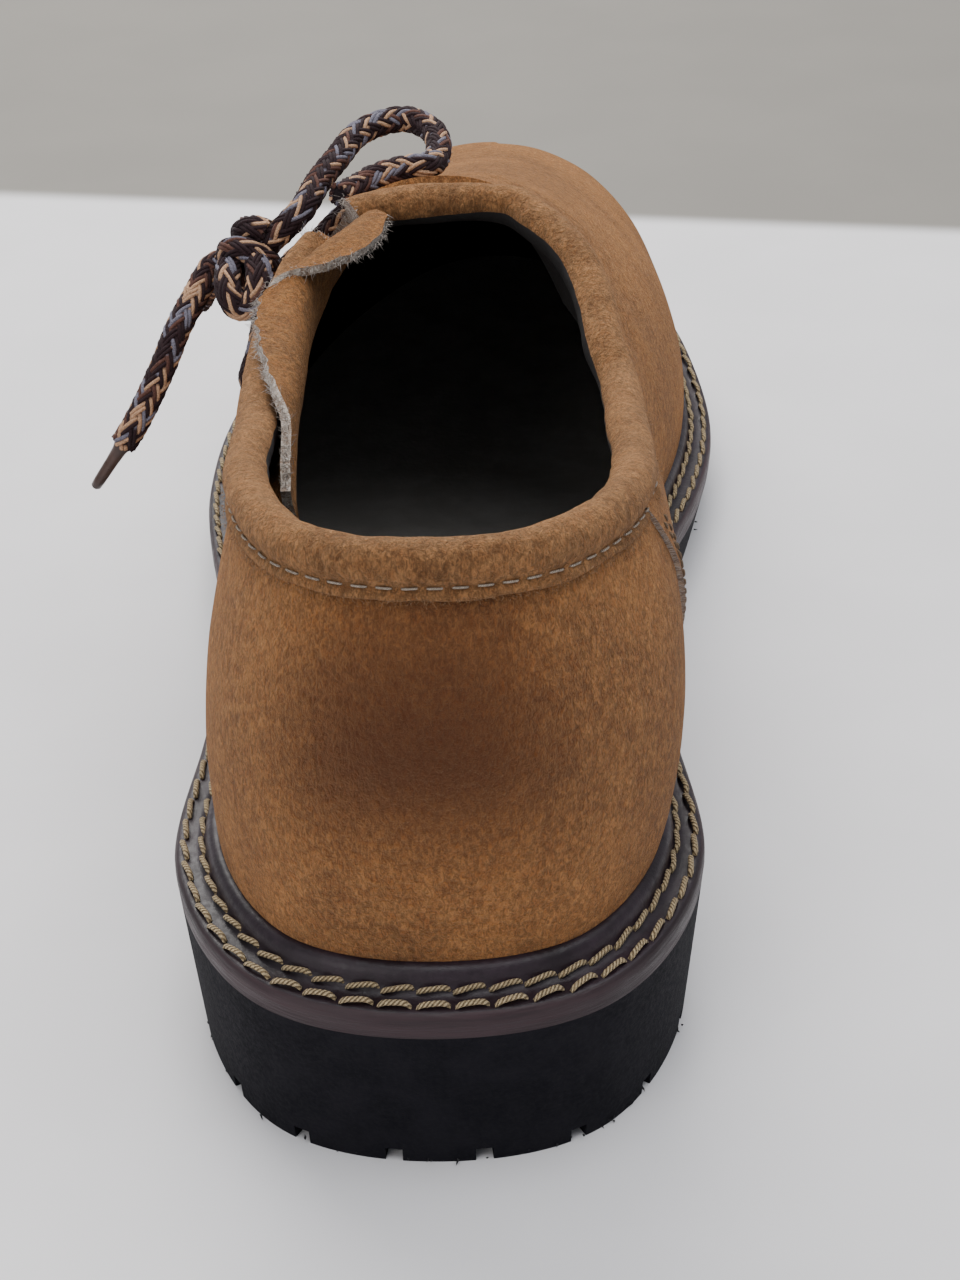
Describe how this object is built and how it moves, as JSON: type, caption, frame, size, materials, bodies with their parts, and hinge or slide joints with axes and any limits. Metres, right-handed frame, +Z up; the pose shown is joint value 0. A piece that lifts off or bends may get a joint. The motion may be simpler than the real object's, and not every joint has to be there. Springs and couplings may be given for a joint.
{
  "type": "haferl shoe",
  "caption": "Low leather work shoe with lacing on its lateral side, a thick lugged rubber sole and a welt with a storm rim.",
  "frame": {"origin": "middle of the heel's tread, on the floor", "axes": "+Z up, +Y towards the toe, +X towards the medial side of this left shoe"},
  "size_m": [0.1167, 0.2988, 0.1061],
  "materials": {
    "rubber": "matte",
    "midsole_leather": "waxed edge",
    "welt_leather": "waxed, satin",
    "suede": "suede, napped",
    "band_suede": "suede, napped",
    "tongue_suede": "suede, napped",
    "lace": "braided",
    "aglet": "translucent film",
    "insole_lining": "smooth"
  },
  "bodies": {
    "root": {"outsole": "rubber", "midsole": "midsole_leather", "welt": "welt_leather", "upper": "suede", "collar_band": "band_suede", "tongue": "tongue_suede", "lace_crossings": "lace", "lace_knot": "lace", "lace_loop_large": "lace", "lace_loop_small": "lace", "lace_end_near": "lace", "lace_end_far": "lace", "aglet_near": "aglet", "aglet_far": "aglet", "insole": "insole_lining"}
  },
  "joints": []
}
